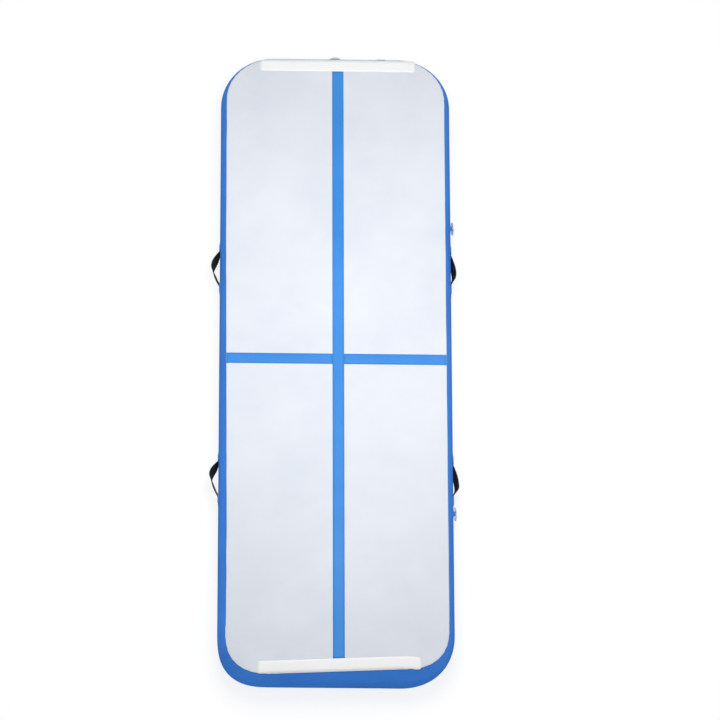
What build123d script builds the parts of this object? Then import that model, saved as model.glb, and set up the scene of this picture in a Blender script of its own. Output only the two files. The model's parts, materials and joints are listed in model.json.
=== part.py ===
from build123d import *
import os
from math import asin, atan2, cos, degrees, radians, sin, sqrt

# Inflatable tumbling mat with a drop-stitch core, in millimetres.
# X is across the mat, Y along it, Z up. The origin is the centre of the underside.
# near is the -Y end and far the +Y end; left is the -X side and right the +X side.

# --- mat body ---
mat_length = 3000
mat_width = 1000
mat_height = 150
wall_bulge = 26  # how far the inflated side wall stands out past the panels
panel_corner = 204  # corner radius of the top and bottom panels
sheet = 0.9  # coated fabric thickness
glue = 0.15  # adhesive between two curved layers
lap = 25  # flat lap of the side wall under each panel

# --- drop-stitch core ---
cloth = 1.0
yarn_pitch = 100
yarn_radius = 1.5
yarn_rows = (8, 28)

# --- lines and end strips on the top panel ---
line_width = 50
line_thick = 0.4
marks_x = 10  # the lines and strips are laid a little to the right of the middle
strip_length = 680
strip_width = 55
strip_corner = 8
strip_margin = 4  # from the panel's end edge

# --- carrying handles: flat webbing bows with their ends under welded patches ---
handle_places = {"near": -539, "far": 473}
handle_droop = {"left": 14, "right": 20}  # degrees below level, as they hang
strap_width = 50
strap_thick = 2
strap_reach = {"left": 35, "right": 20}  # from the wall to the middle of the bow; the right ones lie flatter
strap_pivot_out = {"left": 20, "right": 11}  # where the webbing bends, out from the wall
strap_pivot_half = 50  # half the bow, from its middle to the bend
strap_height = 60
strap_foot = 78  # from the handle's middle to where the webbing meets the wall
strap_tail = 30
pivot_gap = 0.5
patch_length = 48
patch_half_angle = 18

# --- tie rings on the right side ---
ring_places = {"near": -696, "far": 679}
ring_wire = 2.5  # wire radius
ring_half = 29  # half the straight bar, on the wire's centre line
ring_bend = 4
ring_depth = 19  # from the bar to the middle of the bow
ring_out = 6  # bar centre out from the wall
ring_droop = 70  # degrees below level
ring_patch_radius = 26
sleeve_width = 18
sleeve_thick = 2

# --- inflation valve on the far end wall, all distances from the wall's crown ---
valve_bore = 15  # mouth that takes an air hose's nozzle
shoulder_bore = 14
shoulder = -6  # where the nozzle stops
barrel_radius = 18.5
barrel_end = -30
flange_radius = 31
flange_low = 2.2
flange_high = 5.6
collar_top = 12
collar_radius = 19
wall_hole = 19.5
clamp_face = -6.5
clamp_radius = 29
button_top = -7
button_radius = 8
button_thick = 3
hub_top = -21
hub_thick = 4
stem_radius = 3
cap_low = 7.6
cap_high = 15.4
cap_inner = 19.8
cap_outer = 22.5
cap_rim = 24.5
tether_pivot_r = 34.5
tether_pivot_u = 6.4
valve_patch_radius = 55

# --- worked out from the above ---
mid = mat_height / 2
half_width = mat_width / 2
half_length = mat_length / 2
panel_half_x = half_width - wall_bulge
panel_half_y = half_length - wall_bulge
wall_half_height = mid - sheet
wall_radius = (wall_half_height**2 + wall_bulge**2) / (2 * wall_bulge)
wall_centre = half_width - wall_radius  # X of the side wall's arc centre
end_centre = half_length - wall_radius  # Y of the end wall's arc centre
corner_x = panel_half_x - panel_corner
corner_y = panel_half_y - panel_corner
handle_angle = degrees(asin((strap_height - mid) / wall_radius))

os.makedirs("parts", exist_ok=True)


def save(piece, name):
    piece.part.label = name
    export_step(piece.part, f"parts/{name}.step")


# ---------------------------------------------------------------- mat body


def panel(name, low):
    """Top or bottom sheet of coated fabric."""
    with BuildPart() as skin:
        with BuildSketch(Plane.XY.offset(low)):
            RectangleRounded(2 * panel_half_x, 2 * panel_half_y, panel_corner)
        extrude(amount=sheet)
    save(skin, name)


def wall_section(edge, depth):
    """C-shaped section of a wall band: flat laps joined by a bulging arc.

    edge is where the panel ends, depth how far inside the outer face this band starts.
    """
    outer, inner = wall_radius - depth, wall_radius - depth - sheet
    low, high = sheet + depth, 2 * sheet + depth
    centre = edge + wall_bulge - wall_radius
    outer_x = centre + sqrt(outer**2 - (mid - low) ** 2)
    inner_x = centre + sqrt(inner**2 - (mid - high) ** 2)
    top, under = mat_height - low, mat_height - high
    with BuildSketch() as section:
        with BuildLine():
            Line((edge - lap, low), (outer_x, low))
            ThreePointArc((outer_x, low), (centre + outer, mid), (outer_x, top))
            Polyline((outer_x, top), (edge - lap, top), (edge - lap, under), (inner_x, under))
            ThreePointArc((inner_x, under), (centre + inner, mid), (inner_x, high))
            Polyline((inner_x, high), (edge - lap, high), (edge - lap, low))
        make_face()
    return section.sketch


def wall_band(name, depth):
    """One ply of the side wall, all the way round, with the valve's hole in the far end."""
    side_section = wall_section(panel_half_x, depth)
    end_section = wall_section(panel_half_y, depth)
    with BuildPart() as band:
        with BuildSketch(Plane.XZ):
            add(side_section)
        extrude(amount=-corner_y)
        with BuildSketch(Plane.XZ.offset(-corner_y)):
            add(side_section)
        revolve(axis=Axis((corner_x, corner_y, 0), (0, 0, 1)), revolution_arc=90)
        with BuildSketch(Plane.YZ):
            add(end_section)
        extrude(amount=corner_x)
        mirror(about=Plane.XZ)
        mirror(about=Plane.YZ)
        with BuildSketch(Plane.XZ.offset(-half_length - 1)):
            with Locations((0, mid)):
                Circle(wall_hole)
        extrude(amount=wall_bulge, mode=Mode.SUBTRACT)
    save(band, name)


panel("bottom_skin", 0)
panel("top_skin", mat_height - sheet)
wall_band("wall_outer_band", 0)
wall_band("wall_inner_band", sheet + glue)

# Two base cloths tied by yarn bundles, woven as one piece.
core_inset = lap + 1
with BuildPart() as core:
    for low in (sheet, mat_height - sheet - cloth):
        with BuildSketch(Plane.XY.offset(low)):
            RectangleRounded(
                2 * (panel_half_x - core_inset),
                2 * (panel_half_y - core_inset),
                panel_corner - core_inset,
            )
        extrude(amount=cloth)
    with BuildSketch(Plane.XY.offset(sheet + cloth / 2)):
        with GridLocations(yarn_pitch, yarn_pitch, *yarn_rows):
            Circle(yarn_radius)
    extrude(amount=mat_height - 2 * sheet - cloth)
save(core, "drop_stitch_core")


def arc_sector(side, centre, inner, outer, start, stop):
    """Outline of a piece that hugs the wall: two arcs and two short ends, angles in degrees."""

    def point(radius, angle):
        turn = radians(angle)
        return (side * (centre + radius * cos(turn)), mid + radius * sin(turn))

    half = (start + stop) / 2
    ThreePointArc(point(inner, start), point(inner, half), point(inner, stop))
    Line(point(inner, stop), point(outer, stop))
    ThreePointArc(point(outer, stop), point(outer, half), point(outer, start))
    Line(point(outer, start), point(inner, start))


def wall_cover(name, x, half_angle, width):
    """Strip glued over the joint of the outer band, across the far end wall."""
    inner, outer = wall_radius + glue, wall_radius + glue + sheet
    start, stop = -half_angle, half_angle
    with BuildPart() as cover:
        with BuildSketch(Plane.YZ.offset(x - width / 2)):
            with BuildLine():
                arc_sector(1, end_centre, inner, outer, start, stop)
            make_face()
        extrude(amount=width)
    save(cover, name)


wall_cover("wall_joint_strip", 200, 36, 40)

# ---------------------------------------------------------------- lines and strips


def flat_mark(name, x, y, size_x, size_y, corner=0):
    """Thin film bonded on the top panel."""
    with BuildPart() as mark:
        with BuildSketch(Plane.XY.offset(mat_height)):
            with Locations((x, y)):
                if corner:
                    RectangleRounded(size_x, size_y, corner)
                else:
                    Rectangle(size_x, size_y)
        extrude(amount=line_thick)
    save(mark, name)


strip_y = panel_half_y - strip_margin - strip_width / 2
line_end = strip_y - strip_width / 2
flat_mark("centre_line", marks_x, 0, line_width, 2 * line_end)
for name, side in (("cross_line_left", -1), ("cross_line_right", 1)):
    inner_end = marks_x + side * line_width / 2
    outer_end = side * panel_half_x
    flat_mark(name, (inner_end + outer_end) / 2, 0, abs(outer_end - inner_end), line_width)
flat_mark("end_strip_near", marks_x, -strip_y, strip_length, strip_width, strip_corner)
flat_mark("end_strip_far", marks_x, strip_y, strip_length, strip_width, strip_corner)

# ---------------------------------------------------------------- carrying handles

tail_half_angle = degrees(strap_width / 2 / wall_radius)


def span(y_from, y_to):
    """The plane at the larger Y and the distance to extrude back to the smaller."""
    return Plane.XZ.offset(-max(y_from, y_to)), abs(y_to - y_from)


def hug(side, y_from, y_to, inner, outer, half_angle, mode=Mode.ADD):
    """A layer on the side wall, centred at the handles' height, between two places along Y."""
    plane, length = span(y_from, y_to)
    with BuildSketch(plane) as layer:
        with BuildLine():
            arc_sector(side, wall_centre, wall_radius + inner, wall_radius + outer,
                       handle_angle - half_angle, handle_angle + half_angle)
        make_face()
    extrude(layer.sketch, amount=length, mode=mode)


def handle_loop(name, side, y, pivot_x, sag, droop):
    """The free bow of webbing, from pivot to pivot, hanging at its droop."""
    turn = radians(droop)
    hang = Plane(
        origin=(side * pivot_x, y, strap_height),
        x_dir=(side * cos(turn), 0, -sin(turn)),
        z_dir=(side * sin(turn), 0, cos(turn)),
    )
    end_y = strap_pivot_half
    radius = (end_y**2 + sag**2) / (2 * sag)
    centre = sag - radius
    outer, inner = radius + strap_thick / 2, radius - strap_thick / 2
    outer_x = centre + sqrt(outer**2 - end_y**2)
    inner_x = centre + sqrt(inner**2 - end_y**2)
    with BuildPart() as loop:
        with BuildSketch(hang):
            with BuildLine():
                ThreePointArc((outer_x, -end_y), (centre + outer, 0), (outer_x, end_y))
                Line((outer_x, end_y), (inner_x, end_y))
                ThreePointArc((inner_x, end_y), (centre + inner, 0), (inner_x, -end_y))
                Line((inner_x, -end_y), (outer_x, -end_y))
            make_face()
        extrude(amount=strap_width / 2, both=True)
    save(loop, name)


def handle_ends(name, side, y, pivot_x):
    """The two ends of the webbing: a tail flat on the wall and a short run out to the pivot."""
    with BuildPart() as ends:
        for end in (-1, 1):
            foot = y + end * strap_foot
            pivot = y + end * (strap_pivot_half + pivot_gap)
            hug(side, foot - end * 2, foot + end * strap_tail, 0.2, 0.2 + strap_thick, tail_half_angle)
            half = strap_thick * 0.65
            with BuildSketch(Plane.XY.offset(strap_height - strap_width / 2)):
                with BuildLine():
                    Polyline(
                        (side * (half_width + 0.3), foot),
                        (side * (half_width + 2 * half), foot),
                        (side * (pivot_x + half), pivot),
                        (side * (pivot_x - half), pivot),
                        close=True,
                    )
                make_face()
            extrude(amount=strap_width)
    save(ends, name)


def handle_patch(name, side, y, end):
    """Welded patch: thin border, raised over the webbing, with a pocket that holds the tail."""
    start = y + end * (strap_foot + 1)
    with BuildPart() as patch:
        hug(side, start, start + end * patch_length, glue, glue + sheet, patch_half_angle)
        hug(side, start, start + end * (strap_tail + 6), glue, strap_thick + 1.3, tail_half_angle + 2)
        hug(side, start - end, start + end * (strap_tail + 1), 0, strap_thick + 0.4,
            tail_half_angle + 0.3, Mode.SUBTRACT)
    save(patch, name)


for side_name, side in (("left", -1), ("right", 1)):
    pivot_x = half_width + strap_pivot_out[side_name]
    sag = strap_reach[side_name] - strap_pivot_out[side_name]
    for place, y in handle_places.items():
        stem_name = f"handle_{side_name}_{place}"
        handle_loop(f"{stem_name}_loop", side, y, pivot_x, sag, handle_droop[side_name])
        handle_ends(f"{stem_name}_ends", side, y, pivot_x)
        handle_patch(f"{stem_name}_patch_a", side, y, -1)
        handle_patch(f"{stem_name}_patch_b", side, y, 1)

# ---------------------------------------------------------------- tie rings

bar_x = half_width + ring_out


def tie_ring(place, y):
    # Steel D-ring leaning out from its bar: a straight bar, two tight corners and one large bow, all tangent.
    across = ring_half - ring_bend
    bow = (across**2 + (ring_depth - ring_bend) ** 2 - ring_bend**2) / (2 * (ring_depth - 2 * ring_bend))
    corner_turn = 90 + degrees(atan2(bow - ring_depth + ring_bend, across))
    turn = radians(ring_droop)
    hang = Plane(origin=(bar_x, y, mid), x_dir=(0, 1, 0), z_dir=(-sin(turn), 0, -cos(turn)))
    with BuildPart() as ring:
        with BuildLine(hang) as wire:
            ends = []
            for side in (-1, 1):
                Line((0, 0), (side * across, 0))
                corner = JernArc((side * across, 0), (side, 0), ring_bend, side * corner_turn)
                ends.append(corner @ 1)
            ThreePointArc(ends[0], (0, ring_depth), ends[1])
        with BuildSketch(Plane(origin=(bar_x, y, mid), x_dir=(1, 0, 0), z_dir=(0, 1, 0))):
            Circle(ring_wire)
        sweep(path=wire.wires()[0])
    save(ring, f"tie_ring_{place}_loop")

    # Fabric sleeve round the bar, with a neck down to the wall.
    inner, outer = ring_wire + 0.3, ring_wire + 0.3 + sleeve_thick
    plane, length = span(y - sleeve_width / 2, y + sleeve_width / 2)
    with BuildPart() as sleeve:
        with BuildSketch(plane):
            with Locations((bar_x, mid)):
                Circle(outer)
            with BuildLine():
                Polyline((half_width + 0.3, mid - 2), (bar_x, mid - 2), (bar_x, mid + 2),
                         (half_width + 0.3, mid + 2), close=True)
            make_face()
            with Locations((bar_x, mid)):
                Circle(inner, mode=Mode.SUBTRACT)
        extrude(amount=length)
    save(sleeve, f"tie_ring_{place}_sleeve")

    # Round patch on the wall, with a slot that the sleeve's neck passes through.
    reach = ring_patch_radius + 5
    plane, length = span(y - reach, y + reach)
    half_angle = 25
    with BuildPart() as patch:
        with BuildSketch(plane):
            with BuildLine():
                arc_sector(1, wall_centre, wall_radius + glue, wall_radius + glue + sheet,
                           -half_angle, half_angle)
            make_face()
        extrude(amount=length)
        with BuildSketch(Plane.YZ.offset(half_width - 30)):
            with Locations((y, mid)):
                Circle(ring_patch_radius)
                Rectangle(sleeve_width + 0.4, 4.4, mode=Mode.SUBTRACT)
        extrude(amount=60, mode=Mode.INTERSECT)
    save(patch, f"tie_ring_{place}_patch")


for place, y in ring_places.items():
    tie_ring(place, y)

# ---------------------------------------------------------------- inflation valve

valve_axis = Axis((0, 0, mid), (0, 1, 0))


def turned(points):
    """Revolves a closed outline of (distance out from the wall, radius) points about the valve's axis."""
    with BuildSketch(Plane.YZ) as outline:
        with BuildLine():
            Polyline(*[(half_length + out, mid + radius) for out, radius in points], close=True)
        make_face()
    revolve(outline.sketch, axis=valve_axis)


def valve_plane(out):
    """Plane across the valve at a distance out from the wall, facing inwards."""
    return Plane(origin=(0, half_length + out, mid), x_dir=(1, 0, 0), z_dir=(0, -1, 0))


def round_tube(outer, inner, low, high):
    """Plain ring about the valve's axis."""
    with BuildSketch(valve_plane(high)) as ring:
        Circle(outer)
        Circle(inner, mode=Mode.SUBTRACT)
    extrude(ring.sketch, amount=high - low)


def wall_drum(radius, mode):
    """Cylinder about the end wall's arc centre, to shape what lies against the wall."""
    with Locations((0, end_centre, mid)):
        Cylinder(radius, 4 * valve_patch_radius, rotation=(0, 90, 0), mode=mode)


with BuildPart() as valve_patch:
    round_tube(valve_patch_radius, wall_hole + 0.5, -20, 3)
    wall_drum(wall_radius + glue + sheet, Mode.INTERSECT)
    wall_drum(wall_radius + glue, Mode.SUBTRACT)
save(valve_patch, "valve_patch")

with BuildPart() as valve_gasket:
    round_tube(flange_radius - 1, barrel_radius + 0.2, clamp_face, flange_low)
    wall_drum(wall_radius + 2 * glue + sheet, Mode.SUBTRACT)
save(valve_gasket, "valve_gasket")

with BuildPart() as valve_backing:
    round_tube(clamp_radius, barrel_radius + 0.2, clamp_face, 2)
    wall_drum(wall_radius - 2 * sheet - 2 * glue, Mode.INTERSECT)
save(valve_backing, "valve_backing")

arm_width = 3
with BuildPart() as valve_body:
    turned([
        (collar_top, valve_bore),
        (collar_top, collar_radius - 1),
        (flange_high, collar_radius),
        (flange_high, flange_radius),
        (flange_low, flange_radius),
        (flange_low, barrel_radius),
        (barrel_end, barrel_radius),
        (barrel_end, shoulder_bore),
        (shoulder, shoulder_bore),
        (shoulder, valve_bore),
    ])
    with BuildSketch(valve_plane(hub_top)):
        Circle(2 * stem_radius + 0.5)
        with PolarLocations((shoulder_bore + 2 * stem_radius) / 2, 3):
            Rectangle(shoulder_bore - 2 * stem_radius + 2, arm_width)
        Circle(stem_radius + 0.2, mode=Mode.SUBTRACT)
    extrude(amount=hub_thick)
save(valve_body, "valve_body")

nut_notch = 4
with BuildPart() as valve_nut:
    with BuildSketch(valve_plane(clamp_face)):
        Circle(clamp_radius)
        Circle(barrel_radius + 0.2, mode=Mode.SUBTRACT)
        with PolarLocations(clamp_radius, 8):
            Rectangle(nut_notch, nut_notch, mode=Mode.SUBTRACT)
    extrude(amount=6)
save(valve_nut, "valve_nut")

seal_thick = 2
seal_lip = 0.6
plate_thick = 2.5
stem_low = barrel_end - seal_lip - seal_thick - plate_thick
with BuildPart() as valve_stem:
    turned([
        (button_top - 1.6, 0),
        (button_top - 1.6, stem_radius),
        (stem_low, stem_radius),
        (stem_low, stem_radius + 2),
        (stem_low - 1.5, stem_radius + 2),
        (stem_low - 1.5, 0),
    ])
save(valve_stem, "valve_stem")

seal_back = barrel_end - seal_lip
lip_inner, lip_outer = valve_bore + 0.8, valve_bore + 2
with BuildPart() as valve_seal:
    turned([
        (seal_back, stem_radius + 0.1),
        (seal_back, lip_inner),
        (barrel_end, lip_inner),
        (barrel_end, lip_outer),
        (seal_back, lip_outer + 0.5),
        (seal_back - seal_thick, lip_outer + 0.5),
        (seal_back - seal_thick, stem_radius + 0.1),
    ])
save(valve_seal, "valve_seal")

with BuildPart() as valve_plate:
    round_tube(valve_bore - 1, stem_radius + 0.1, stem_low, seal_back - seal_thick)
save(valve_plate, "valve_plate")

with BuildPart() as valve_button:
    turned([
        (button_top, 0),
        (button_top, button_radius - 0.8),
        (button_top - 0.8, button_radius),
        (button_top - button_thick, button_radius),
        (button_top - button_thick, stem_radius + 0.15),
        (button_top - 1.5, stem_radius + 0.15),
        (button_top - 1.5, 0),
    ])
    with BuildSketch(valve_plane(button_top)):
        Rectangle(9, 1.6)
    extrude(amount=0.8, mode=Mode.SUBTRACT)
save(valve_button, "valve_button")

spring_wire = 0.6
spring_radius = 4.8
spring_low = hub_top + 0.1 + spring_wire
spring_high = button_top - button_thick - 0.1 - spring_wire
spring_turns = 4
with BuildPart() as valve_spring:
    with BuildLine() as coil:
        Helix(
            pitch=(spring_high - spring_low) / spring_turns,
            height=spring_high - spring_low,
            radius=spring_radius,
            center=(0, half_length + spring_low, mid),
            direction=(0, 1, 0),
        )
    with BuildSketch(Plane(origin=coil.line @ 0, z_dir=coil.line % 0)):
        Circle(spring_wire)
    sweep(path=coil.line, is_frenet=True)
save(valve_spring, "valve_spring")

knob_length, knob_width, knob_height = 30, 6, 5
with BuildPart() as valve_cap:
    turned([
        (cap_high, 0),
        (cap_high, cap_rim - 0.8),
        (cap_high - 0.8, cap_rim),
        (cap_high - 2.2, cap_rim),
        (cap_high - 2.6, cap_outer),
        (cap_low + 1.2, cap_outer),
        (cap_low + 0.9, cap_rim - 0.5),
        (cap_low, cap_rim - 0.5),
        (cap_low, cap_inner),
        (cap_high - 2.6, cap_inner),
        (cap_high - 2.6, 0),
    ])
    with BuildSketch(valve_plane(cap_high + knob_height)):
        SlotOverall(knob_length, knob_width)
    extrude(amount=knob_height)
    fillet(valve_cap.faces().sort_by(Axis.Y)[-1].edges(), 1.5)
save(valve_cap, "valve_cap")

with BuildPart() as valve_cap_seal:
    round_tube(collar_radius - 1.2, valve_bore + 0.6, collar_top + 0.1, cap_high - 2.6)
save(valve_cap_seal, "valve_cap_seal")

tether_width = 10
tether_thick = 1.6
with BuildPart() as valve_tether_ring:
    with BuildSketch(valve_plane(flange_high + tether_thick)):
        Circle(collar_radius + 3)
        with Locations((0, -(tether_pivot_r - 1.5 + collar_radius) / 2)):
            Rectangle(tether_width, tether_pivot_r - 1.5 - collar_radius)
        Circle(collar_radius + 0.3, mode=Mode.SUBTRACT)
    extrude(amount=tether_thick)
save(valve_tether_ring, "valve_tether_ring")

link_low = cap_low + 1.6
link_high = cap_high - 3.1
with BuildPart() as valve_tether_link:
    with BuildSketch(valve_plane(link_high)):
        Circle(cap_rim + 1.5)
        with Locations((0, -(tether_pivot_r + 0.8 + cap_outer) / 2)):
            Rectangle(tether_width, tether_pivot_r + 0.8 - cap_outer)
        Circle(cap_outer + 0.4, mode=Mode.SUBTRACT)
    extrude(amount=link_high - link_low)
    with BuildSketch(valve_plane(link_low + 0.5)):
        with Locations((0, -tether_pivot_r)):
            Rectangle(tether_width, tether_thick)
    extrude(amount=link_low + 0.5 - (tether_pivot_u - 0.6))
save(valve_tether_link, "valve_tether_link")
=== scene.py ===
import json
import math
import bmesh
import bpy
from mathutils import Matrix, Vector, noise


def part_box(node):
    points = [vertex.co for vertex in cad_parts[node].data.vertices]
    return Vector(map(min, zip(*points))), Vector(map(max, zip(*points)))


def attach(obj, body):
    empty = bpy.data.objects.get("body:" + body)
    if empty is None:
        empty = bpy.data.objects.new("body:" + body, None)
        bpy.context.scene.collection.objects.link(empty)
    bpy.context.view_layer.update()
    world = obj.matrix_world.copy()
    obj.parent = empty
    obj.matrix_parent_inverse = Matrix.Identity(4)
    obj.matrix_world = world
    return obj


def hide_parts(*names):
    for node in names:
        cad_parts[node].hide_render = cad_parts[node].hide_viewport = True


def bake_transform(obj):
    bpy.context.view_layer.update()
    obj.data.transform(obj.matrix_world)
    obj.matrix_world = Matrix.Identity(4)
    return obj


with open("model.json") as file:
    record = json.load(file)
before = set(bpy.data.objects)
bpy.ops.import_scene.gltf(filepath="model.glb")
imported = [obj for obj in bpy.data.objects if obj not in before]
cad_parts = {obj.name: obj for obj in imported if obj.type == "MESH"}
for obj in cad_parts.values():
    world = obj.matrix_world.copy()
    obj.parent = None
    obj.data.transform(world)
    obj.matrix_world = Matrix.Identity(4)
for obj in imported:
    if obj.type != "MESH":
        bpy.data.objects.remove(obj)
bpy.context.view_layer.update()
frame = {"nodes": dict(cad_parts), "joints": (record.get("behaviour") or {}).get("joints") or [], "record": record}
scene = bpy.context.scene
scene.view_settings.view_transform = "Standard"

# camera first: a long lens from high above the near end, rolled so the mat stands upright in the picture
camera = dict(azimuth=-3.46, elevation=62.85, roll=3.68, distance=28.0, lens=326.0, right=0.105, up=0.029)


def makeCamera():
    turn, tilt, roll = (math.radians(camera[k]) for k in ("azimuth", "elevation", "roll"))
    ahead = Vector((-math.sin(turn) * math.cos(tilt), math.cos(turn) * math.cos(tilt), -math.sin(tilt)))
    level = Vector((math.cos(turn), math.sin(turn), 0))
    above = level.cross(ahead)
    right = level * math.cos(roll) + above * math.sin(roll)
    up = above * math.cos(roll) - level * math.sin(roll)
    cam = bpy.data.objects.new("camera", bpy.data.cameras.new("camera"))
    scene.collection.objects.link(cam)
    middle = Vector((0, 0, mid))
    place = middle + right * camera["right"] + up * camera["up"] - ahead * camera["distance"]
    cam.matrix_world = Matrix.Translation(place) @ Matrix((right, up, -ahead)).transposed().to_4x4()
    cam.data.lens = camera["lens"]
    cam.data.sensor_width = 36
    cam.data.clip_end = 200
    scene.camera = cam


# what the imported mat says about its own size
panelLow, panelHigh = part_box("top_skin")
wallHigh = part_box("wall_outer_band")[1]
mid = panelHigh.z / 2
halfX, halfY = panelHigh.x, panelHigh.y
bulge = wallHigh.x - halfX
sheet = panelHigh.z - panelLow.z
seamHalf = mid - sheet
wallRadius = (seamHalf ** 2 + bulge ** 2) / (2 * bulge)
wallAngle = math.asin(seamHalf / wallRadius)
mat = dict(
    corner=0.204,        # corner radius of the two panels
    cornerSteps=64,
    sideStep=0.02,
    endStep=0.02,
    wallRows=24,
    rollDrop=0.0016,     # the panel's edge bends down a little into the seam
    rollWidth=0.014,
    seamSpread=0.08,     # how far in from its edge a panel follows the seam
    settle=0.0006,       # the panel's edge laps this far over the wall
    settleWidth=0.02,
    swell=0.0005,        # slow unevenness of the top between its yarns
    swellsPerMetre=4.1,
    swellEdge=0.05,      # none of it at the seam itself
    hole=0.0195,         # radius of the valve's hole
)
seam = dict(
    wander=0.0011,       # how far the hand-glued seam strays from a true line
    wanderLength=0.11,
    trueEnd=0.15,        # it comes back to the true line over this length
    scallop=0.0009,      # small waves that the tight corners leave in the seam
    scallopLength=0.034,
    scallopChange=0.05,
    pastCorner=0.09,     # the waves die out this far along the straight sides
    wallReach=0.55,      # the wall follows its seam from this part of its half height outwards
    highSeed=31.0,
    seedStep=7.3,
)
# how much wider the near quarters' corners are blown out: at the crown, the top seam and the bottom seam
nearLeft, nearRight = 0, 1
fuller = {nearLeft: (0.025, 0.009, 0.018), nearRight: (0.006, 0.020, 0.004)}
# the top panel is glued a little off its true place; starts and stops are distances along the mat
skew = dict(
    nearOffset=0.0063,
    nearSlope=0.0467,    # along X
    nearStart=1.15,
    nearFade=0.3,
    left=0.011,          # the left edge comes in by this much towards the near end
    leftStart=0.9,
    leftGrowth=2.0,
    leftStop=1.2,
    leftFade=0.24,
    leftReach=0.4,
    edgeReach=0.22,      # only this far in from the edge
    edgeFade=0.14,
    wallReach=0.3,       # and on the wall from this part of its half height upwards
)
cornerX, cornerY = halfX - mat["corner"], halfY - mat["corner"]

print("frame loaded")


# ---- small helpers

def smooth(value):
    value = min(max(value, 0.0), 1.0)
    return value * value * (3 - 2 * value)


def addObject(name, bm, material=None, smoothly=True):
    mesh = bpy.data.meshes.new(name)
    bm.to_mesh(mesh)
    bm.free()
    obj = bpy.data.objects.new(name, mesh)
    scene.collection.objects.link(obj)
    if material:
        mesh.materials.append(material)
    if smoothly:
        mesh.shade_smooth()
    return obj


def solidify(obj, thickness, offset=-1):
    shell = obj.modifiers.new("thickness", "SOLIDIFY")
    shell.thickness = thickness
    shell.offset = offset
    shell.use_even_offset = True


def sweepEdges(bm, geom, shift, steps):
    # straight sweep: a spin of no angle that only moves
    swept = bmesh.ops.spin(bm, geom=geom, cent=(0, 0, 0), axis=(0, 0, 1), angle=0, dvec=shift, steps=steps)
    return swept["geom_last"]


def outline(x, y):
    # where a point lies on the mat's outline: the distance along that quarter of it, the distance inside it,
    # the way out, how much of a corner it is, and which quarter it is
    sx, sy = (1 if x >= 0 else -1), (1 if y >= 0 else -1)
    ax, ay = abs(x), abs(y)
    r = mat["corner"]
    if ax > cornerX and ay > cornerY:
        out = Vector((ax - cornerX, ay - cornerY))
        inside = r - out.length
        turn = math.atan2(out.y, out.x)
        along = cornerY + turn * r
        out = out.normalized() if out.length > 1e-9 else Vector((1, 0))
        inCorner = 1.0
    elif ax - cornerX > ay - cornerY:
        inside, out, along = halfX - ax, Vector((1, 0)), min(ay, cornerY)
        inCorner = smooth(1 - (cornerY - ay) / seam["pastCorner"])
    else:
        inside, out = halfY - ay, Vector((0, 1))
        along = cornerY + math.pi / 2 * r + cornerX - min(ax, cornerX)
        inCorner = smooth(1 - (cornerX - ax) / seam["pastCorner"])
    quarter = (sx > 0) + 2 * (sy > 0)
    return along, inside, Vector((out.x * sx, out.y * sy, 0)), inCorner, quarter


def seamStray(x, y, high):
    # how far the seam stands out from a true outline, in metres; the lower seam has its own wander
    along, _, _, inCorner, quarter = outline(x, y)
    seed = seam["seedStep"] * quarter + (seam["highSeed"] if high else 0.0)
    # true at the middle of each long side, and along most of both ends
    strayEnd = cornerY + math.pi / 2 * mat["corner"] + cornerX * 0.1
    keep = min(1.0, along / seam["trueEnd"], (strayEnd - along) / seam["trueEnd"])
    stray = seam["wander"] * noise.noise(Vector((along / seam["wanderLength"], seed, 0.5))) * smooth(keep)
    wave = math.sin(2 * math.pi * along / seam["scallopLength"] + seed)
    strength = 0.6 + 0.4 * noise.noise(Vector((along / seam["scallopChange"], seed, 9.1)))
    return stray + seam["scallop"] * wave * strength * inCorner


def fullness(x, y, rise):
    # extra width of a corner, for a height on the wall from -1 at the bottom seam to 1 at the top one
    along, _, _, _, quarter = outline(x, y)
    turn = (along - cornerY) / mat["corner"]
    if quarter not in fuller or not 0 < turn < math.pi / 2:
        return 0.0
    crown, top, bottom = fuller[quarter]
    amount = crown + ((top if rise > 0 else bottom) - crown) * smooth(abs(rise))
    towardsEnd = 0.8 + 0.4 * turn / (math.pi / 2)
    return amount * math.sin(2 * turn) ** 2 * towardsEnd


def askew(x, y):
    # how far the top seam is glued off its true line
    near = smooth((-y - skew["nearStart"]) / skew["nearFade"])
    left = 0.0
    if x < 0:
        grown = smooth((skew["leftStart"] - y) / skew["leftGrowth"])
        left = grown * (1 - smooth((-y - skew["leftStop"]) / skew["leftFade"]))
    return Vector((skew["left"] * left * smooth(-x / skew["leftReach"]),
                   (skew["nearOffset"] + skew["nearSlope"] * x) * near, 0))


def laid(x, y, high):
    # where a point of a panel as cut ends up on the blown-up mat
    inside, out = outline(x, y)[1:3]
    extra = seamStray(x, y, high) + fullness(x, y, 1 if high else -1)
    point = Vector((x, y, 0)) + out * extra * smooth(1 - inside / mat["seamSpread"])
    if high:
        point += askew(x, y) * smooth((skew["edgeReach"] - inside) / skew["edgeFade"])
    return point


def panelHeight(x, y):
    # height of the top sheet's upper face
    inside = outline(x, y)[1]
    rolled = mat["rollDrop"] * (1 - smooth(inside / mat["rollWidth"]))
    spot = Vector((x * mat["swellsPerMetre"], y * mat["swellsPerMetre"], 2.2))
    slow = mat["swell"] * noise.noise(spot) * smooth(inside / mat["swellEdge"])
    return panelHigh.z - rolled - mat["swell"] * 0.6 + slow


# ---- finishes

def colour(text):
    # sRGB hex to the linear values the shader takes
    parts = [int(text[i:i + 2], 16) / 255 for i in (0, 2, 4)]
    return [p / 12.92 if p <= 0.04045 else ((p + 0.055) / 1.055) ** 2.4 for p in parts] + [1.0]


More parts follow.
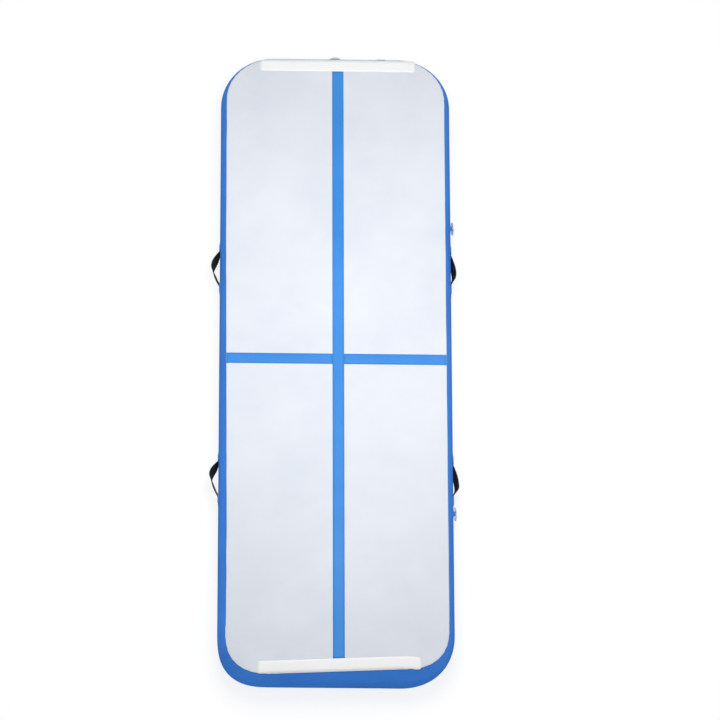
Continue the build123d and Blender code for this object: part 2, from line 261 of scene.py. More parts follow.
def addNode(tree, kind, links=(), **settings):
    node = tree.nodes.new(kind)
    for key, value in settings.items():
        if hasattr(node, key):
            setattr(node, key, value)
        else:
            node.inputs[key.replace("_", " ")].default_value = value
    for source, output, target in links:
        tree.links.new(source.outputs[output], node.inputs[target])
    return node


def startMaterial(name, base, **shader):
    material = bpy.data.materials.new(name)
    material.use_nodes = True
    tree = material.node_tree
    surface = tree.nodes["Principled BSDF"]
    surface.inputs["Base Color"].default_value = colour(base)
    for key, value in shader.items():
        surface.inputs[key.replace("_", " ")].default_value = value
    return material, tree, surface


# threads 1.6 mm apart: real ones are near 0.5 mm, which is too fine to show
threadPitch = 0.0016


def coatedFabric(name, base, dark, light, roughness, strength):
    # PVC-coated polyester: calendered, so satin with a fine linen print and slight cloudiness in the colour
    material, tree, surface = startMaterial(name, base, Roughness=roughness, IOR=1.53)
    surface.inputs["Specular IOR Level"].default_value = 0.18
    place = addNode(tree, "ShaderNodeTexCoord")
    cloud = addNode(tree, "ShaderNodeTexNoise", [(place, "Object", "Vector")], Scale=3.5, Detail=3.0,
                    Roughness=0.55)
    tint = addNode(tree, "ShaderNodeValToRGB", [(cloud, "Fac", "Fac")])
    tint.color_ramp.elements[0].position = 0.3
    tint.color_ramp.elements[0].color = colour(dark)
    tint.color_ramp.elements[1].position = 0.7
    tint.color_ramp.elements[1].color = colour(light)
    tree.links.new(tint.outputs["Color"], surface.inputs["Base Color"])
    split = addNode(tree, "ShaderNodeSeparateXYZ", [(place, "Object", "Vector")])
    waves = []
    for axis in ("X", "Y", "Z"):
        turnsPerMetre = addNode(tree, "ShaderNodeMath", [(split, axis, 0)], operation="MULTIPLY")
        turnsPerMetre.inputs[1].default_value = 2 * math.pi / threadPitch
        waves.append(addNode(tree, "ShaderNodeMath", [(turnsPerMetre, 0, 0)], operation="SINE"))
    across = addNode(tree, "ShaderNodeMath", [(waves[0], 0, 0), (waves[1], 0, 1)], operation="ADD")
    linen = addNode(tree, "ShaderNodeMath", [(across, 0, 0), (waves[2], 0, 1)], operation="ADD")
    grain = addNode(tree, "ShaderNodeTexNoise", [(place, "Object", "Vector")], Scale=900.0, Detail=2.0)
    mixed = addNode(tree, "ShaderNodeMath", [(linen, 0, 0), (grain, "Fac", 1)], operation="ADD")
    bump = addNode(tree, "ShaderNodeBump", [(mixed, 0, "Height")], Strength=strength, Distance=0.0002)
    tree.links.new(bump.outputs["Normal"], surface.inputs["Normal"])
    return material


panelPvc = coatedFabric("panelPvc", "E3E8F1", "DFE5EE", "E8ECF5", 0.42, 0.35)
wallPvc = coatedFabric("wallPvc", "327EDE", "2D78D7", "3A86E4", 0.45, 0.35)
patchPvc = coatedFabric("patchPvc", "4A94EA", "458EE4", "529CEF", 0.42, 0.3)
linePvc = coatedFabric("linePvc", "3D8EE2", "388ADD", "4593E6", 0.42, 0.25)
stripPvc = coatedFabric("stripPvc", "FFFFFF", "FCFDFD", "FFFFFF", 0.4, 0.2)


def wovenCloth(name, dark, light, pitch, rib, roughness, strength):
    # spun or filament yarn woven flat: matt, with rows of short floats that sit half a step apart
    material, tree, surface = startMaterial(name, dark, Roughness=roughness)
    surface.inputs["Sheen Weight"].default_value = 0.06
    surface.inputs["Sheen Roughness"].default_value = 0.5
    flat = addNode(tree, "ShaderNodeUVMap", uv_map="weave")
    weave = addNode(tree, "ShaderNodeTexBrick", [(flat, "UV", "Vector")], offset=0.5, Color1=colour(dark),
                    Color2=colour(light), Mortar=colour(dark), Scale=1.0, Mortar_Size=rib * 0.16,
                    Mortar_Smooth=1.0, Brick_Width=pitch, Row_Height=rib)
    fuzz = addNode(tree, "ShaderNodeTexNoise", [(flat, "UV", "Vector")], Scale=1400.0, Detail=2.0)
    tone = addNode(tree, "ShaderNodeMix", [(fuzz, "Fac", 0), (weave, "Color", 6)], data_type="RGBA")
    tone.inputs[7].default_value = colour(light)
    tree.links.new(tone.outputs[2], surface.inputs["Base Color"])
    bump = addNode(tree, "ShaderNodeBump", [(weave, "Fac", "Height")], invert=True, Strength=strength,
                   Distance=0.0004)
    tree.links.new(bump.outputs["Normal"], surface.inputs["Normal"])
    return material


def moulded(name, dark, light, roughness, grain, strength, specular=0.5):
    # injection moulded: even colour with a trace of flow, and the mould's fine spark-eroded grain
    material, tree, surface = startMaterial(name, dark, Roughness=roughness, IOR=1.5)
    surface.inputs["Specular IOR Level"].default_value = specular
    place = addNode(tree, "ShaderNodeTexCoord")
    flow = addNode(tree, "ShaderNodeTexNoise", [(place, "Object", "Vector")], Scale=60.0, Detail=3.0)
    tint = addNode(tree, "ShaderNodeValToRGB", [(flow, "Fac", "Fac")])
    tint.color_ramp.elements[0].color = colour(dark)
    tint.color_ramp.elements[1].color = colour(light)
    tree.links.new(tint.outputs["Color"], surface.inputs["Base Color"])
    pits = addNode(tree, "ShaderNodeTexNoise", [(place, "Object", "Vector")], Scale=1 / grain, Detail=3.0)
    shine = addNode(tree, "ShaderNodeMapRange", [(pits, "Fac", "Value")])
    shine.inputs["To Min"].default_value = roughness - 0.06
    shine.inputs["To Max"].default_value = roughness + 0.08
    tree.links.new(shine.outputs["Result"], surface.inputs["Roughness"])
    bump = addNode(tree, "ShaderNodeBump", [(pits, "Fac", "Height")], Strength=strength, Distance=0.0001)
    tree.links.new(bump.outputs["Normal"], surface.inputs["Normal"])
    return material


def plated(name, base, roughness, scratch):
    # drawn steel wire with a bright plating: a mirror broken by fine wear
    material, tree, surface = startMaterial(name, base, Metallic=1.0)
    place = addNode(tree, "ShaderNodeTexCoord")
    wear = addNode(tree, "ShaderNodeTexNoise", [(place, "Object", "Vector")], Scale=1 / scratch, Detail=4.0)
    shine = addNode(tree, "ShaderNodeMapRange", [(wear, "Fac", "Value")])
    shine.inputs["To Min"].default_value = roughness
    shine.inputs["To Max"].default_value = roughness + 0.18
    tree.links.new(shine.outputs["Result"], surface.inputs["Roughness"])
    bump = addNode(tree, "ShaderNodeBump", [(wear, "Fac", "Height")], Strength=0.12, Distance=0.0001)
    tree.links.new(bump.outputs["Normal"], surface.inputs["Normal"])
    return material


webbing = wovenCloth("nylonWebbing", "060608", "101115", 0.0032, 0.0018, 0.62, 0.9)
baseCloth = wovenCloth("dropStitchPolyester", "DAD9D2", "E8E7E1", 0.002, 0.001, 0.8, 0.5)
valveAbs = moulded("valveAbs", "DFE2E4", "E5E8E9", 0.42, 0.0006, 0.25)
buttonAbs = moulded("buttonAbs", "868B90", "8F9499", 0.4, 0.0006, 0.2)
tetherPe = moulded("tetherPolyethylene", "D1D4D6", "D8DBDC", 0.5, 0.0008, 0.2)
sealEpdm = moulded("sealRubber", "18181A", "1F1F21", 0.66, 0.0005, 0.35, 0.35)
ringSteel = plated("nickelPlatedSteel", "C9CBCE", 0.14, 0.002)
springSteel = plated("springSteel", "AEB0B3", 0.28, 0.0015)
finishes = {
    "panel_pvc": panelPvc, "wall_pvc": wallPvc, "patch_pvc": patchPvc, "line_film": linePvc,
    "strip_film": stripPvc, "drop_stitch": baseCloth, "webbing": webbing, "ring_steel": ringSteel,
    "spring_steel": springSteel, "seal_rubber": sealEpdm, "tether_plastic": tetherPe,
    "button_plastic": buttonAbs, "valve_plastic": valveAbs,
}
slotOf = {part["node"]: part["material_slot"] for part in frame["record"]["subparts"]}
for node, obj in frame["nodes"].items():
    obj.data.materials.clear()
    obj.data.materials.append(finishes[slotOf[node]])
print("finishes made")


# ---- inflated body

same = 1e-6    # two points closer than this are one


def wallShell():
    bm = bmesh.new()
    centreX = wallHigh.x - wallRadius
    low = Vector((centreX + wallRadius * math.cos(wallAngle), 0, mid - seamHalf))
    start = bm.verts.new(low)
    bmesh.ops.spin(bm, geom=[start], cent=(centreX, 0, mid), axis=(0, -1, 0), angle=2 * wallAngle,
                   steps=mat["wallRows"])
    section = bm.verts[:] + bm.edges[:]
    sideSteps, endSteps = round(cornerY / mat["sideStep"]), round(cornerX / mat["endStep"])
    last = sweepEdges(bm, section, (0, cornerY / sideSteps, 0), sideSteps)
    last = bmesh.ops.spin(bm, geom=last, cent=(cornerX, cornerY, 0), axis=(0, 0, 1), angle=math.pi / 2,
                          steps=mat["cornerSteps"])["geom_last"]
    sweepEdges(bm, last, (-cornerX / endSteps, 0, 0), endSteps)
    mirrorQuarters(bm)
    for face in bm.faces:
        middle = face.calc_center_median()
        if face.normal.dot(outline(middle.x, middle.y)[2]) < 0:
            face.normal_flip()
    return bm


def mirrorQuarters(bm):
    for axis in ("X", "Y"):
        bmesh.ops.mirror(bm, geom=bm.verts[:] + bm.edges[:] + bm.faces[:], axis=axis, merge_dist=1e-5)
    bmesh.ops.remove_doubles(bm, verts=bm.verts[:], dist=1e-5)
    bmesh.ops.recalc_face_normals(bm, faces=bm.faces[:])


def panelSheet():
    # a quarter of the panel: rings round the corner's centre, closer together near the seam, swept along both
    # sides, and the plain middle
    bm = bmesh.new()
    rings = [0, 0.03, 0.06, 0.09, 0.12, 0.145, 0.165, 0.18, 0.19, 0.197, 0.201, mat["corner"]]
    spoke = [bm.verts.new((cornerX + ring, 0, 0)) for ring in rings]
    geom = spoke + [bm.edges.new(pair) for pair in zip(spoke, spoke[1:])]
    sideSteps, endSteps = round(cornerY / mat["sideStep"]), round(cornerX / mat["endStep"])
    last = sweepEdges(bm, geom, (0, cornerY / sideSteps, 0), sideSteps)
    last = bmesh.ops.spin(bm, geom=last, cent=(cornerX, cornerY, 0), axis=(0, 0, 1), angle=math.pi / 2,
                          steps=mat["cornerSteps"])["geom_last"]
    sweepEdges(bm, last, (-cornerX / endSteps, 0, 0), endSteps)
    bmesh.ops.remove_doubles(bm, verts=bm.verts[:], dist=same)
    innerLine = [e for e in bm.edges
                 if all(abs(v.co.x - cornerX) < same and v.co.y < cornerY + same for v in e.verts)]
    innerVerts = list(dict.fromkeys(v for e in innerLine for v in e.verts))
    sweepEdges(bm, innerVerts + innerLine, (-cornerX / endSteps, 0, 0), endSteps)
    mirrorQuarters(bm)
    return bm


def makePanel(name, node, material, high):
    bm = panelSheet()
    for v in bm.verts:
        x, y = v.co.x, v.co.y
        inside, out = outline(x, y)[1:3]
        height = panelHeight(x, y)
        v.co = laid(x, y, high) + out * mat["settle"] * smooth(1 - inside / mat["settleWidth"])
        v.co.z = height if high else 2 * mid - height
    bmesh.ops.recalc_face_normals(bm, faces=bm.faces[:])
    if (bm.faces[0].normal.z > 0) != high:
        bmesh.ops.reverse_faces(bm, faces=bm.faces[:])
    panel = addObject(name, bm, material)
    solidify(panel, sheet)
    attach(panel, "root")
    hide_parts(node)


inflate = dict(
    frames=22, pressure=9.0, gather=-0.10, tension=45, bending=1.2,
    farthest=0.006,      # no point moves more than this
    pinned=0.965,        # from this part of the half height outwards the wall is held at its seam
    gatherStart=0.3,     # and from this part on it shrinks along its seam
    gatherRun=0.5,
)


def makeWall():
    bm = wallShell()
    for v in bm.verts:
        rise = (v.co.z - mid) / seamHalf
        nearSeam = smooth((abs(rise) - seam["wallReach"]) / (1 - seam["wallReach"]))
        x, y = v.co.x, v.co.y
        v.co += outline(x, y)[2] * (seamStray(x, y, rise > 0) * nearSeam + fullness(x, y, rise))
        v.co += askew(x, y) * smooth((rise - skew["wallReach"]) / (1 - skew["wallReach"]))
        v.co.z -= math.copysign(mat["rollDrop"] * nearSeam, rise)
    wall = addObject("sideWall", bm, wallPvc)
    rest = [v.co.copy() for v in wall.data.vertices]
    inflateWall(wall, rest)
    solidify(wall, 2 * sheet)
    cutHole(wall)
    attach(wall, "root")
    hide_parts("wall_outer_band", "wall_inner_band")


def cutHole(wall):
    # the valve's hole through both plies of the far end
    bm = bmesh.new()
    bmesh.ops.create_cone(bm, cap_ends=True, segments=48, radius1=mat["hole"], radius2=mat["hole"],
                          depth=0.06)
    bmesh.ops.rotate(bm, matrix=Matrix.Rotation(math.pi / 2, 3, "X"), verts=bm.verts[:])
    bmesh.ops.translate(bm, vec=(0, wallHigh.y, mid), verts=bm.verts[:])
    cutter = addObject("cutter", bm)
    hole = wall.modifiers.new("hole", "BOOLEAN")
    hole.object = cutter
    hole.solver = "EXACT"
    bpy.context.view_layer.update()
    cut = bpy.data.meshes.new_from_object(wall.evaluated_get(bpy.context.evaluated_depsgraph_get()))
    wall.modifiers.clear()
    wall.data = cut
    bpy.data.objects.remove(cutter)


def inflateWall(wall, rest):
    # a corner's seam is shorter than the wall's crown there, so the wall gathers at the seams
    pinned = wall.vertex_groups.new(name="seam")
    gathers = wall.vertex_groups.new(name="gathers")
    for i, p in enumerate(rest):
        rise = abs(p.z - mid) / seamHalf
        if rise > inflate["pinned"]:
            pinned.add([i], 1.0, "REPLACE")
        weight = outline(p.x, p.y)[3] * smooth((rise - inflate["gatherStart"]) / inflate["gatherRun"])
        gathers.add([i], weight, "REPLACE")
    cloth = wall.modifiers.new("inflate", "CLOTH")
    cloth.settings.quality = 6
    cloth.settings.mass = 0.2
    cloth.settings.tension_stiffness = inflate["tension"]
    cloth.settings.compression_stiffness = inflate["tension"]
    cloth.settings.shear_stiffness = inflate["tension"] / 2
    cloth.settings.bending_stiffness = inflate["bending"]
    cloth.settings.vertex_group_mass = "seam"
    cloth.settings.vertex_group_shrink = "gathers"
    cloth.settings.shrink_min = 0.0
    cloth.settings.shrink_max = inflate["gather"]
    cloth.settings.use_pressure = True
    cloth.settings.uniform_pressure_force = inflate["pressure"]
    cloth.settings.effector_weights.gravity = 0
    cloth.collision_settings.use_collision = False
    for step in range(1, inflate["frames"]):
        scene.frame_set(step)
    shown = wall.evaluated_get(bpy.context.evaluated_depsgraph_get())
    moved = [v.co.copy() for v in shown.data.vertices]
    wall.modifiers.remove(cloth)
    scene.frame_set(1)
    most = 0
    for vertex, was, now in zip(wall.data.vertices, rest, moved):
        step = now - was
        most = max(most, step.length)
        if step.length > inflate["farthest"]:
            step *= inflate["farthest"] / step.length
        vertex.co = was + step * outline(was.x, was.y)[3]
    print("wall inflated, largest move in mm", round(most * 1000, 2))


makePanel("topPanel", "top_skin", panelPvc, True)
makePanel("bottomPanel", "bottom_skin", wallPvc, False)
makeWall()
print("body made")


# ---- films on the top

filmSheet = dict(step=0.012, lift=0.0003, thick=0.0005, stripCorner=0.008)


def makeFilm(name, node, slotName, corner=0.0):
    low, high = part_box(node)
    bm = bmesh.new()
    size = high - low
    xSteps, ySteps = (max(2, round(length / filmSheet["step"])) for length in (size.x, size.y))
    bmesh.ops.create_grid(bm, x_segments=xSteps, y_segments=ySteps, size=0.5)
    bmesh.ops.scale(bm, vec=(size.x, size.y, 1), verts=bm.verts[:])
    bmesh.ops.translate(bm, vec=(low + high) / 2, verts=bm.verts[:])
    for v in bm.verts:
        x, y = v.co.x, v.co.y
        if corner:
            cx = min(max(x, low.x + corner), high.x - corner)
            cy = min(max(y, low.y + corner), high.y - corner)
            away = Vector((x - cx, y - cy))
            if away.x and away.y and away.length > corner:
                away *= corner / away.length
                x, y = cx + away.x, cy + away.y
        v.co = laid(x, y, True)
        v.co.z = panelHeight(x, y) + filmSheet["lift"]
    film = addObject(name, bm, finishes[slotName])
    solidify(film, filmSheet["thick"])
    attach(film, "root")
    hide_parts(node)


makeFilm("centreLine", "centre_line", "line_film")
makeFilm("crossLineLeft", "cross_line_left", "line_film")
makeFilm("crossLineRight", "cross_line_right", "line_film")
makeFilm("endStripNear", "end_strip_near", "strip_film", filmSheet["stripCorner"])
makeFilm("endStripFar", "end_strip_far", "strip_film", filmSheet["stripCorner"])
print("films made")


# ---- anything glued on the wall is laid out flat first: along the wall, and round its arc

def onWall(edge, along, arc, lift):
    # edge is left, right or far; arc is a length round the wall, up from its crown; lift is out from the wall
    reach = wallRadius + lift
    turn = arc / wallRadius
    out = reach * math.cos(turn) - wallRadius
    height = mid + reach * math.sin(turn)
    if edge == "far":
        return Vector((along, wallHigh.y + out, height))
    side = -1 if edge == "left" else 1
    return Vector((side * (wallHigh.x + out), along, height))


def flatGrid(size, step):
    # a plain rectangle about the origin, cut into squares about one step wide
    bm = bmesh.new()
    counts = [max(2, round(s / step)) for s in size]
    bmesh.ops.create_grid(bm, x_segments=counts[0], y_segments=counts[1], size=0.5)
    bmesh.ops.scale(bm, vec=(size[0], size[1], 1), verts=bm.verts[:])
    return bm


def roundCorners(bm, size, radius):
    # pulls the rectangle's corners in to a quarter circle
    for v in bm.verts:
        core = Vector((size[0] / 2 - radius, size[1] / 2 - radius))
        past = Vector((abs(v.co.x) - core.x, abs(v.co.y) - core.y))
        if past.x > 0 and past.y > 0:
            past *= max(past.x, past.y) / past.length
            v.co.x = math.copysign(core.x + past.x, v.co.x)
            v.co.y = math.copysign(core.y + past.y, v.co.y)


def flatUv(bm):
    # keeps the flat layout in metres, so that a weave follows the cloth wherever it is bent to
    layer = bm.loops.layers.uv.new("weave")
    for face in bm.faces:
        for loop in face.loops:
            loop[layer].uv = loop.vert.co.xy


def finishSheet(bm, name, slotName, nodes, thickness, outward, offset=-1, body="root"):
    # turns the sheet's face outward, gives it its thickness and puts it in place of its plain solids
    bmesh.ops.recalc_face_normals(bm, faces=bm.faces[:])
    outermost = max(bm.faces, key=lambda f: f.calc_center_median().dot(outward))
    if outermost.normal.dot(outward) < 0:
        bmesh.ops.reverse_faces(bm, faces=bm.faces[:])
    piece = addObject(name, bm, finishes[slotName])
    solidify(piece, thickness, offset)
    if body:
        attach(piece, body)
    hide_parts(*nodes)
    return piece


outwards = {"left": Vector((-1, 0, 0)), "right": Vector((1, 0, 0)), "far": Vector((0, 1, 0))}
pivots = {joint["child"]: Vector(joint["pos_m"]) for joint in frame["joints"] if "pos_m" in joint}
patch = dict(
    start=0.079,         # from the handle's middle
    length=0.048, width=0.0745, corner=0.016, step=0.002,
    flat=0.00105,        # the sheet's outer face above the wall
    raised=0.0033,       # and above the webbing's end
    slope=0.006,
    thin=0.00035,        # the sheet's edge is pressed down by this much
    feather=0.004,
)
strap = dict(
    width=0.050, thick=0.002, step=0.0025,
    tailEnd=0.108,       # half the webbing's whole length
    gap=0.0002,
    edge=0.0006,         # rounding of the selvedge
    droop={"left": 14, "right": 20},
    free={"left": 0.079, "right": 0.068},      # where the webbing leaves the wall, from the handle's middle
    bend=0.28,           # how sharply it is folded at its middle, against that length
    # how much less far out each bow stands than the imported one, and how far its fold lies to one side
    trim={"left_near": 0.003, "left_far": 0.004, "right_near": 0.003, "right_far": 0.005},
    lean={"left_near": 0.012, "left_far": 0.002, "right_near": -0.026, "right_far": -0.018},
    twist={"left": 0.19, "right": 0.0},        # how far it turns each way from its middle, in radians
    twistHalf=0.035,     # over this length on each side
    ripple=0.05,         # how far it turns out of true by chance
    liftStart=0.010,     # it lifts off the wall over the last stretch before the place where it leaves it
    liftRun=0.014,
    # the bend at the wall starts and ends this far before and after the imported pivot
    hinge={"left": (0.013, 0.012), "right": (0.008, 0.008)},
)
handleDrop = math.asin((mid - pivots["handle_left_near"].z) / wallRadius)   # below the crown, round the wall


def handlePatch(edge, place, letter, end):
    stem = f"{edge}_{place}"
    middleY = pivots["handle_" + stem].y
    size = (patch["length"], patch["width"])
    bm = flatGrid(size, patch["step"])
    roundCorners(bm, size, patch["corner"])
    flatUv(bm)
    tail = strap["tailEnd"] - patch["start"]
    for v in bm.verts:
        along, arc = v.co.x + patch["length"] / 2, v.co.y
        # the patch stands over the webbing's end and slopes down to the wall round it
        over = smooth(1 - (abs(arc) - strap["width"] / 2) / patch["slope"])
        over *= smooth(1 - (along - tail) / patch["slope"])
        toEdge = min(patch["width"] / 2 - abs(arc), patch["length"] - along)
        lift = patch["flat"] + (patch["raised"] - patch["flat"]) * over
        lift -= patch["thin"] * (1 - smooth(toEdge / patch["feather"])) * (1 - over)
        y = middleY + end * (patch["start"] + along)
        v.co = onWall(edge, y, arc - handleDrop * wallRadius, lift)
    finishSheet(bm, f"patch_{stem}_{letter}", "patch_pvc", [f"handle_{stem}_patch_{letter}"], sheet,
                outwards[edge])


def makeStrap(edge, place):
    stem = f"{edge}_{place}"
    body = "handle_" + stem
    pivot = pivots[body]
    side = -1 if edge == "left" else 1
    droop = math.radians(strap["droop"][edge])
    low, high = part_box(body + "_loop")
    tip = max(abs(low.x), abs(high.x)) - strap["width"] / 2 * math.sin(droop) - strap["thick"] / 2
    tip -= strap["trim"][stem]
    lift = strap["gap"] + strap["thick"] / 2
    base = onWall("right", 0, -handleDrop * wallRadius, lift).x
    leaves, bend = strap["free"][edge], strap["bend"]
    bm = flatGrid((2 * strap["tailEnd"], strap["width"]), strap["step"])
    flatUv(bm)
    for v in bm.verts:
        dy, across = v.co.x, v.co.y
        # two straight runs out from the wall that meet in a round fold
        spent = (math.hypot(dy / leaves, bend) - bend) / (math.hypot(1, bend) - bend)
        out = max(0.0, 1 - spent)
        x = base + (tip - base) * out
        clear = smooth((x - base) / (abs(pivot.x) - base))
        tilt = droop * clear + handleDrop * (1 - clear)
        tilt += strap["ripple"] * noise.noise(Vector((dy * 30, pivot.y * 9, side * 3.7))) * out
        turned = min(max(dy / strap["twistHalf"], -1), 1)
        tilt += strap["twist"][edge] * math.sin(math.pi / 2 * turned) * clear
        y = pivot.y + dy + strap["lean"][stem] * out
        free = Vector((side * (x + across * math.sin(tilt)), y,
                       pivot.z - max(0.0, x - abs(pivot.x)) * math.tan(droop) + across * math.cos(tilt)))
        flat = onWall(edge, y, across - handleDrop * wallRadius, lift)
        v.co = free.lerp(flat, smooth((abs(dy) - leaves + strap["liftStart"]) / strap["liftRun"]))
    piece = finishSheet(bm, "strap_" + stem, "webbing", [body + "_loop", body + "_ends"], strap["thick"],
                        outwards[edge], offset=0, body=None)
    bevel = piece.modifiers.new("edge", "BEVEL")
    bevel.width = strap["edge"]
    bevel.segments = 2
    bevel.limit_method = "ANGLE"
    bevel.angle_limit = math.radians(60)
    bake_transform(piece)


for edgeName in ("left", "right"):
    for placeName in ("near", "far"):
        makeStrap(edgeName, placeName)
        handlePatch(edgeName, placeName, "a", -1)
        handlePatch(edgeName, placeName, "b", 1)
print("handles made")


# ---- tie rings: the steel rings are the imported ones, held by a folded fabric sleeve in a round patch

tieRing = dict(
    patchRadius=0.026, sleeveWidth=0.018, sleeveThick=0.0017, sleeveStep=0.0009,
    turnRadius=0.0038,   # the sleeve's middle, round the ring's bar
    neckHalf=0.00105,
    neckGap=0.0006,
    bandLift=0.0021,     # the patch's outer face where the sleeve's ends lie under it
    bandHalf=0.014, bandSlope=0.005, bandSide=0.004,
    slot=0.003,          # and it is flat again at the slot they come out of
)


def tieRingHolder(place):
    bar = pivots["tie_ring_" + place]
    size = (2 * tieRing["patchRadius"],) * 2
    bm = flatGrid(size, patch["step"])
    roundCorners(bm, size, tieRing["patchRadius"])
    flatUv(bm)
    for v in bm.verts:
        along, arc = v.co.x, v.co.y
        toEdge = tieRing["patchRadius"] - math.hypot(along, arc)
        # the sleeve's two ends lie under the patch above and below the slot
        over = smooth((tieRing["sleeveWidth"] / 2 - abs(along)) / tieRing["bandSide"] + 1)
        over *= smooth(1 - (abs(arc) - tieRing["bandHalf"]) / tieRing["bandSlope"])
        over *= smooth(abs(arc) / tieRing["slot"])
        lift = patch["flat"] + (tieRing["bandLift"] - patch["flat"]) * over
        lift -= patch["thin"] * (1 - smooth(toEdge / patch["feather"]))
        v.co = onWall("right", bar.y + along, arc, lift)
    finishSheet(bm, "ringPatch_" + place, "patch_pvc", [f"tie_ring_{place}_patch"], sheet, outwards["right"])

    turn = tieRing["turnRadius"]
    lastTurn = math.pi - math.asin(tieRing["neckHalf"] / turn)
    neck = bar.x + turn * math.cos(lastTurn) - wallHigh.x - tieRing["neckGap"]
    size = (2 * (turn * lastTurn + neck), tieRing["sleeveWidth"])
    bm = flatGrid(size, tieRing["sleeveStep"])
    flatUv(bm)
    for v in bm.verts:
        path, y = v.co.x, bar.y + v.co.y
        angle = min(abs(path) / turn, lastTurn)
        straight = max(0.0, abs(path) - turn * lastTurn)
        v.co = Vector((bar.x + turn * math.cos(angle) - straight, y,
                       bar.z + math.copysign(turn * math.sin(angle), path)))
    finishSheet(bm, "sleeve_" + place, "patch_pvc", [f"tie_ring_{place}_sleeve"], tieRing["sleeveThick"],
                outwards["right"], offset=0)


for placeName in ("near", "far"):
    tieRingHolder(placeName)
print("tie rings made")


# ---- far end: valve and joint strip

valve = dict(patchInner=0.0200, patchOuter=0.055, rings=14, segments=96)
stripStep = 0.003


def valvePatch():
    bm = bmesh.new()
    spoke = [bm.verts.new((valve["patchInner"], 0, 0))]
    ring = (valve["patchOuter"] - valve["patchInner"]) / valve["rings"]
    sweepEdges(bm, spoke, (ring, 0, 0), valve["rings"])
    bmesh.ops.spin(bm, geom=bm.verts[:] + bm.edges[:], cent=(0, 0, 0), axis=(0, 0, 1), angle=2 * math.pi,
                   steps=valve["segments"], use_merge=True)
    bmesh.ops.remove_doubles(bm, verts=bm.verts[:], dist=same)
    flatUv(bm)
    for v in bm.verts:
        toEdge = valve["patchOuter"] - math.hypot(v.co.x, v.co.y)
        lift = patch["flat"] - patch["thin"] * (1 - smooth(toEdge / patch["feather"]))
        v.co = onWall("far", v.co.x, v.co.y, lift)
    finishSheet(bm, "valvePatch", "patch_pvc", ["valve_patch"], sheet, outwards["far"])


def jointStrip():
    low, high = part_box("wall_joint_strip")
    arc = 2 * wallRadius * math.asin((high.z - mid) / (wallRadius + patch["flat"]))
    bm = flatGrid((high.x - low.x, arc), stripStep)
    flatUv(bm)
    for v in bm.verts:
        toEdge = (high.x - low.x) / 2 - abs(v.co.x)
        lift = patch["flat"] - patch["thin"] * (1 - smooth(toEdge / patch["feather"]))
        v.co = onWall("far", (low.x + high.x) / 2 + v.co.x, v.co.y, lift)
    finishSheet(bm, "jointStrip", "wall_pvc", ["wall_joint_strip"], sheet, outwards["far"])


def softened(node, body, width):
    # the moulded part as packed, with its sharp edges rounded as a mould leaves them
    bm = bmesh.new()
    bm.from_mesh(frame["nodes"][node].data)
    bmesh.ops.remove_doubles(bm, verts=bm.verts[:], dist=2e-6)
    bmesh.ops.dissolve_limit(bm, angle_limit=math.radians(1), verts=bm.verts[:], edges=bm.edges[:])
    piece = addObject(node.replace("valve_", "valve"), bm, finishes[slotOf[node]])
    bevel = piece.modifiers.new("edge", "BEVEL")
    bevel.width = width
    bevel.segments = 3
    bevel.limit_method = "ANGLE"
    bevel.angle_limit = math.radians(40)
    bevel.harden_normals = True
    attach(piece, body)
    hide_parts(node)


def returnSpring():
    # the imported coil, copied with the spring steel finish in place of the imported one
    bm = bmesh.new()
    bm.from_mesh(frame["nodes"]["valve_spring"].data)
    spring = addObject("returnSpring", bm, springSteel)
    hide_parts("valve_spring")
    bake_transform(spring)


valvePatch()
jointStrip()
returnSpring()
softened("valve_body", "root", 0.0005)
softened("valve_nut", "root", 0.0005)
softened("valve_tether_ring", "root", 0.0003)
softened("valve_tether_link", "tether", 0.0003)
softened("valve_cap", "cap", 0.0003)
softened("valve_button", "button", 0.0002)
print("valve made")


# ---- floor and light

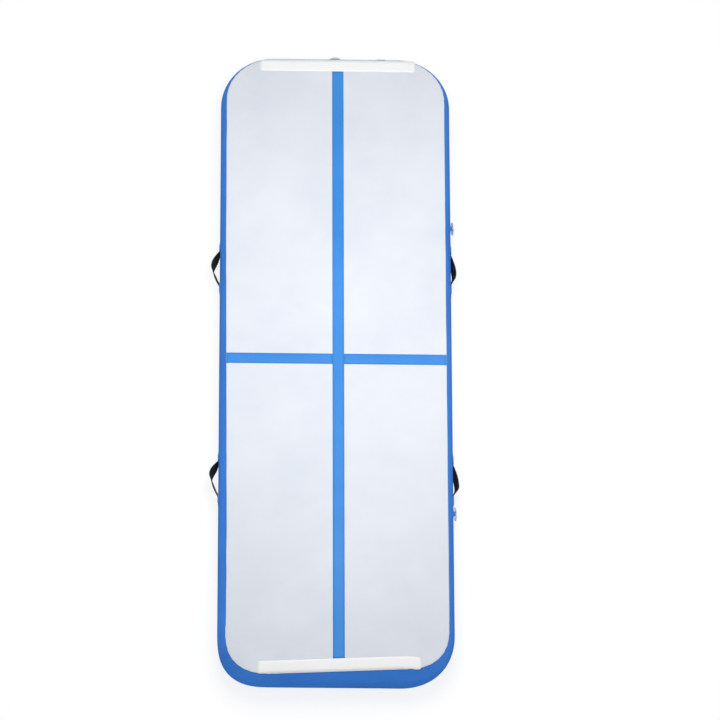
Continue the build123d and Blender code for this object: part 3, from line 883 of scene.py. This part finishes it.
studio = dict(
    floorHalf=30, floorDrop=0.0005, floorGlow=0.8,
    sky=1.65, under=0.07, middle=0.42, zenith=0.2,
    lamp=38, lampSize=2.2, lampPlace=(0.1, 0.2, 2.4), lampTarget=(0, 0.1, 0),
)


def makeFloor():
    bm = bmesh.new()
    bmesh.ops.create_grid(bm, x_segments=1, y_segments=1, size=studio["floorHalf"])
    material, _, surface = startMaterial("floorPaper", "8C8C8C", Roughness=1.0)
    surface.inputs["Emission Color"].default_value = (1, 1, 1, 1)
    surface.inputs["Emission Strength"].default_value = studio["floorGlow"]
    floor = addObject("floor", bm, material, smoothly=False)
    floor.location.z = -studio["floorDrop"]
    floor.visible_diffuse = False
    floor.visible_glossy = False


def areaLight(name, place, target, size, power):
    light = bpy.data.lights.new(name, "AREA")
    light.shape = "DISK"
    light.size = size
    light.energy = power
    obj = bpy.data.objects.new(name, light)
    scene.collection.objects.link(obj)
    obj.location = place
    obj.rotation_euler = (Vector(target) - Vector(place)).to_track_quat("-Z", "Y").to_euler()


def makeSky():
    # brightest all round the horizon, which lights the walls, and dim from under the floor
    world = bpy.data.worlds.new("studio")
    world.use_nodes = True
    tree = world.node_tree
    background = tree.nodes["Background"]
    way = addNode(tree, "ShaderNodeTexCoord")
    split = addNode(tree, "ShaderNodeSeparateXYZ", [(way, "Generated", "Vector")])
    height = addNode(tree, "ShaderNodeMapRange", [(split, "Z", "Value")])
    height.inputs["From Min"].default_value = -1.0
    bands = addNode(tree, "ShaderNodeValToRGB", [(height, "Result", "Fac")])
    bands.color_ramp.elements[0].color = [studio["under"]] * 3 + [1]
    bands.color_ramp.elements[1].color = [studio["zenith"]] * 3 + [1]
    for place, strength in ((0.28, 2 * studio["under"]), (0.5, 1.0), (0.65, studio["middle"])):
        bands.color_ramp.elements.new(place).color = [strength] * 3 + [1]
    tree.links.new(bands.outputs["Color"], background.inputs["Color"])
    background.inputs["Strength"].default_value = studio["sky"]
    scene.world = world


makeCamera()
makeFloor()
areaLight("overhead", studio["lampPlace"], studio["lampTarget"], studio["lampSize"], studio["lamp"])
makeSky()
print("stage made")
